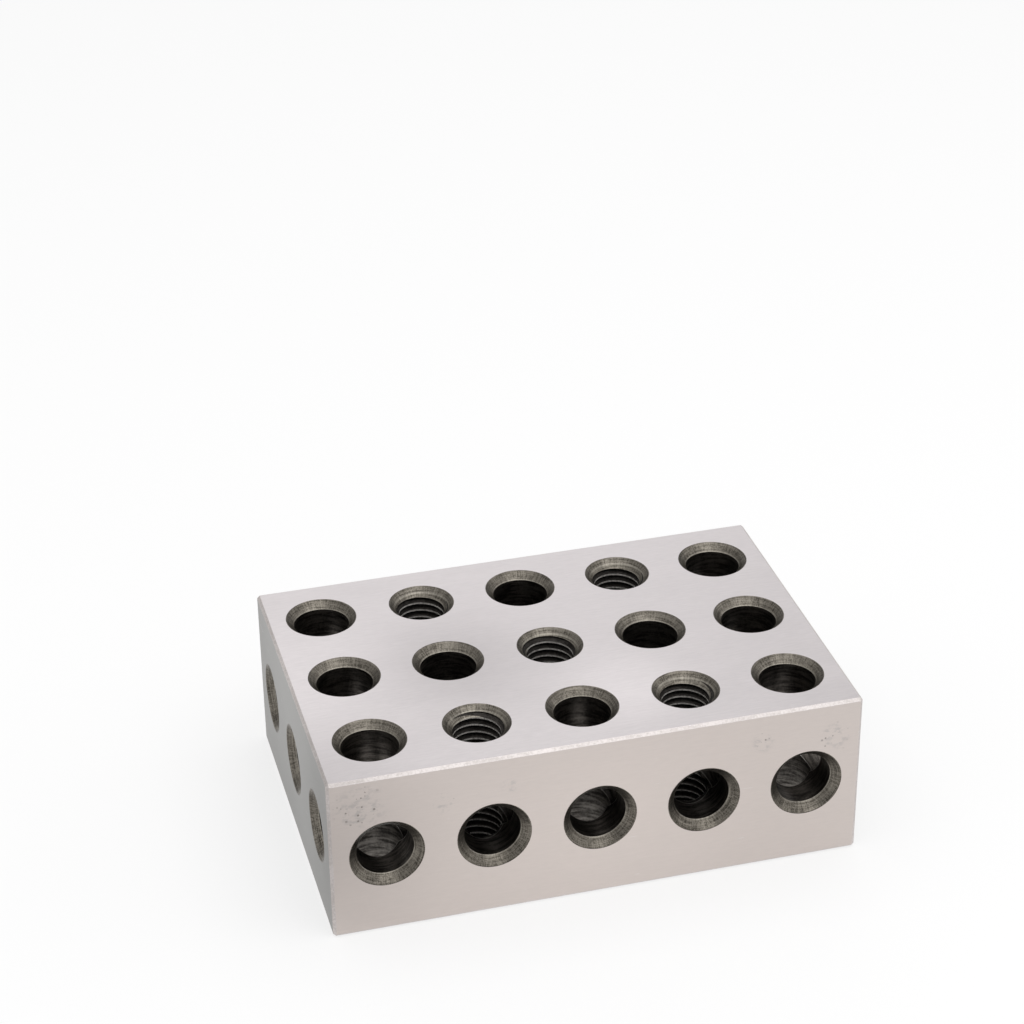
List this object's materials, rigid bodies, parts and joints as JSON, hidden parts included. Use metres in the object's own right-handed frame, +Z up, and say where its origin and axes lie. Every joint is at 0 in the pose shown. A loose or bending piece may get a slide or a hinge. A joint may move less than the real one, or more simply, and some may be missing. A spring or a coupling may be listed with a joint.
{
  "type": "machinist setup block",
  "caption": "Flat rectangular ground steel block with through holes along all three directions, countersunk at every mouth, some of the upright ones threaded.",
  "frame": {"origin": "middle of the bottom face", "axes": "+X along the length, +Y from front to back, +Z up through the thickness"},
  "size_m": [0.1524, 0.1016, 0.0508],
  "materials": {
    "ground_steel": "ground, satin"
  },
  "bodies": {
    "root": {"setup_block": "ground_steel"}
  },
  "joints": []
}
